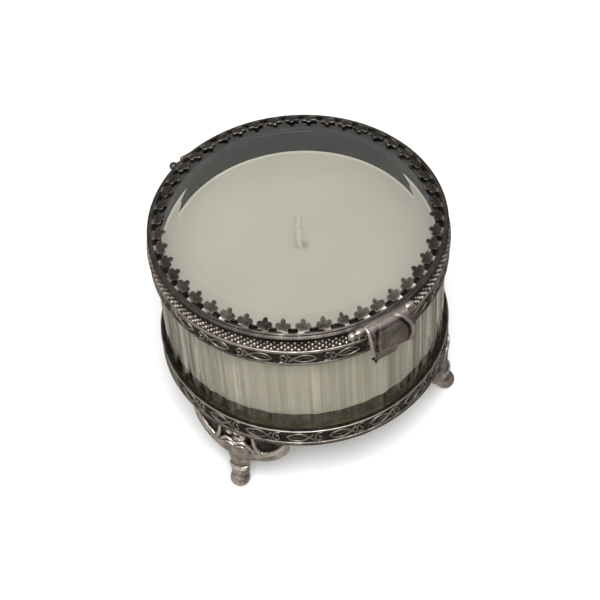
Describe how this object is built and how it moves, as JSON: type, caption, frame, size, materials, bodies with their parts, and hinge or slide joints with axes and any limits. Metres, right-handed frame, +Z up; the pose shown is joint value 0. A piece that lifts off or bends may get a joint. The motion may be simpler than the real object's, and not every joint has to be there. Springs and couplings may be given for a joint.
{
  "type": "candle_trinket_box",
  "caption": "Round footed glass box with stamped metal bands, a hinged lid glazed with bevelled glass and a hanging clasp plate, filled with candle wax and a wick.",
  "frame": {"origin": "The centre of the footprint on the surface the box stands on, on the axis of the round jar.", "axes": "+Z is up, along the jar's axis. The clasp faces -Y and the hinge is at +Y. +X is to the right, seen from the clasp's side."},
  "size_m": [0.096, 0.1053, 0.0858],
  "materials": {
    "jar_glass": "clear pressed glass with a very slight green tint",
    "lid_glass": "clear bevelled glass",
    "cream_wax": "cream candle wax, slightly glossy",
    "wick_cotton": "waxed cotton",
    "plain_silver": "plain tinned sheet",
    "antique_silver": "antiqued silver plate, dark in the hollows and rubbed bright on the high spots",
    "dark_silver": "darkened silver plate"
  },
  "bodies": {
    "body": {"glass_jar": "jar_glass", "candle_wax": "cream_wax", "wick": "wick_cotton", "wick_sustainer": "plain_silver", "base_collar": "dark_silver", "lower_scroll_band": "antique_silver", "rim_collar": "dark_silver", "upper_scroll_band": "antique_silver", "ridge_wire": "antique_silver", "beaded_gallery": "antique_silver", "foot_front_left": "antique_silver", "foot_front_right": "antique_silver", "foot_rear": "antique_silver", "hinge_leaf_body": "antique_silver", "hinge_pin": "antique_silver", "clasp_catch": "dark_silver"},
    "lid": {"lid_ring": "dark_silver", "crown_gallery": "antique_silver", "lid_glass": "lid_glass", "hinge_leaf_lid": "antique_silver", "clasp_bracket": "antique_silver", "clasp_pin": "antique_silver"},
    "clasp": {"clasp_plate": "antique_silver"}
  },
  "joints": [
    {"name": "lid_hinge", "type": "hinge", "parent": "body", "child": "lid", "pos_m": [0, 0.0507, 0.0743], "axis": [-1, 0, 0], "range_deg": [0, 105]},
    {"name": "clasp_pivot", "type": "hinge", "parent": "lid", "child": "clasp", "pos_m": [0, -0.0488, 0.0845], "axis": [-1, 0, 0], "range_deg": [0, 110]}
  ]
}
